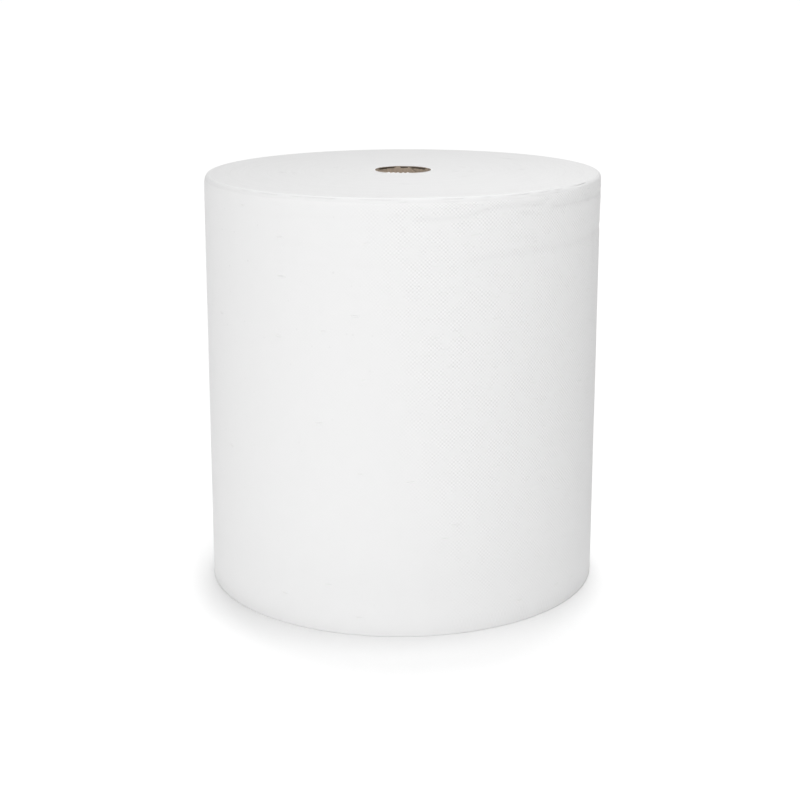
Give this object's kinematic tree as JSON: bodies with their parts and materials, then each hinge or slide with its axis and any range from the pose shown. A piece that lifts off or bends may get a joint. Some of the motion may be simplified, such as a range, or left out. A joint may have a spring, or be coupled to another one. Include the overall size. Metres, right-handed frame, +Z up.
{
  "type": "cleaning cloth roll",
  "caption": "Large roll of white embossed cleaning cloth, wound on a cardboard core tube and standing on one end.",
  "frame": {"origin": "centre of the foot that the roll stands on, on the axis of the core", "axes": "+Z up along the axis of the core; the free end of the cloth lies on the +Y side"},
  "size_m": [0.3045, 0.3047, 0.3216],
  "materials": {
    "cloth": "matt white nonwoven cloth with a fine diamond emboss",
    "cardboard": "bare brown paperboard"
  },
  "bodies": {
    "root": {"cloth_roll": "cloth", "core_tube": "cardboard"}
  },
  "joints": []
}
